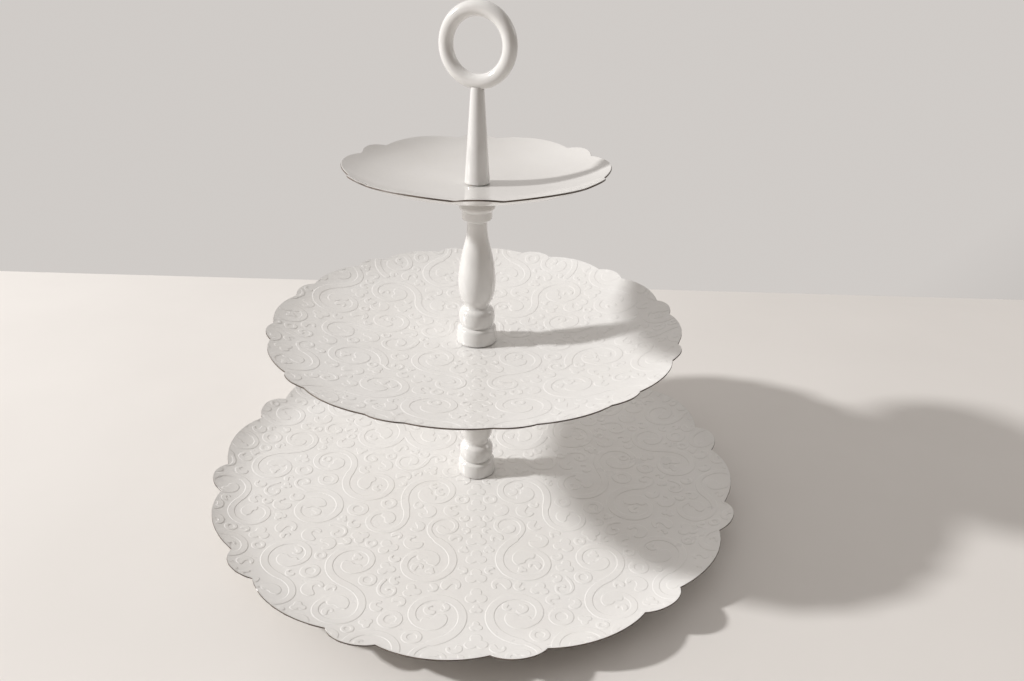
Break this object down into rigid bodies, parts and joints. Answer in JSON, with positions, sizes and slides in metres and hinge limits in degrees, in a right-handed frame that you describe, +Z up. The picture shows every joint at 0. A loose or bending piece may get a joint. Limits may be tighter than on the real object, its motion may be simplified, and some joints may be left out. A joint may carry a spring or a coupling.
{
  "type": "tiered cake stand",
  "caption": "Tiered cake stand: scalloped, embossed enamelled dishes on turned columns that screw together, with a ring handle on a tapered stem.",
  "frame": {"origin": "on the table, on the centre line of the columns, level with the undersides of the feet", "axes": "+Z up along the columns; -Y towards the front, where the right-hand side of the ring handle comes forward; +X to the right of a person in front"},
  "size_m": [0.3392, 0.3392, 0.3022],
  "materials": {
    "enamel": "satin-gloss warm white enamel over embossed steel sheet",
    "gloss_enamel": "gloss warm white enamel, smooth",
    "plated_steel": "bright zinc plate",
    "nylon": "natural white nylon",
    "silicone": "soft white silicone"
  },
  "bodies": {
    "base": {"bottom_dish": "enamel", "base_washer": "plated_steel", "base_screw": "plated_steel", "foot_1": "silicone", "foot_2": "silicone", "foot_3": "silicone", "foot_4": "silicone"},
    "lower_seat": {"washer_over_bottom_dish": "nylon"},
    "lower_column": {"lower_column": "gloss_enamel", "lower_stud": "plated_steel", "washer_under_middle_dish": "nylon"},
    "middle_dish": {"middle_dish": "enamel"},
    "upper_seat": {"washer_over_middle_dish": "nylon"},
    "upper_column": {"upper_column": "gloss_enamel", "upper_stud": "plated_steel", "washer_under_top_dish": "nylon"},
    "top_dish": {"top_dish": "gloss_enamel"},
    "handle_seat": {"washer_over_top_dish": "nylon"},
    "handle": {"handle_stem": "gloss_enamel", "ring_pin": "plated_steel", "handle_ring": "gloss_enamel"}
  },
  "joints": [
    {"name": "lower_column_lift", "type": "slide", "parent": "base", "child": "lower_seat", "axis": [0, 0, 1], "range_m": [0, 0.008]},
    {"name": "lower_column_turn", "type": "hinge", "parent": "lower_seat", "child": "lower_column", "pos_m": [0, 0, 0.0067], "axis": [0, 0, 1], "range_deg": [0, 2880]},
    {"name": "middle_dish_turn", "type": "hinge", "parent": "lower_column", "child": "middle_dish", "pos_m": [0, 0, 0.1057], "axis": [0, 0, 1], "continuous": true},
    {"name": "upper_column_lift", "type": "slide", "parent": "lower_column", "child": "upper_seat", "axis": [0, 0, 1], "range_m": [0, 0.008]},
    {"name": "upper_column_turn", "type": "hinge", "parent": "upper_seat", "child": "upper_column", "pos_m": [0, 0, 0.1067], "axis": [0, 0, 1], "range_deg": [0, 2880]},
    {"name": "top_dish_turn", "type": "hinge", "parent": "upper_column", "child": "top_dish", "pos_m": [0, 0, 0.2057], "axis": [0, 0, 1], "continuous": true},
    {"name": "handle_lift", "type": "slide", "parent": "upper_column", "child": "handle_seat", "axis": [0, 0, 1], "range_m": [0, 0.008]},
    {"name": "handle_turn", "type": "hinge", "parent": "handle_seat", "child": "handle", "pos_m": [0, 0, 0.2067], "axis": [0, 0, 1], "range_deg": [0, 2880]}
  ],
  "couplings": [
    {"joint": "lower_column_turn", "follows": "lower_column_lift", "rad_per_m": 6283.2},
    {"joint": "upper_column_turn", "follows": "upper_column_lift", "rad_per_m": 6283.2},
    {"joint": "handle_turn", "follows": "handle_lift", "rad_per_m": 6283.2}
  ]
}
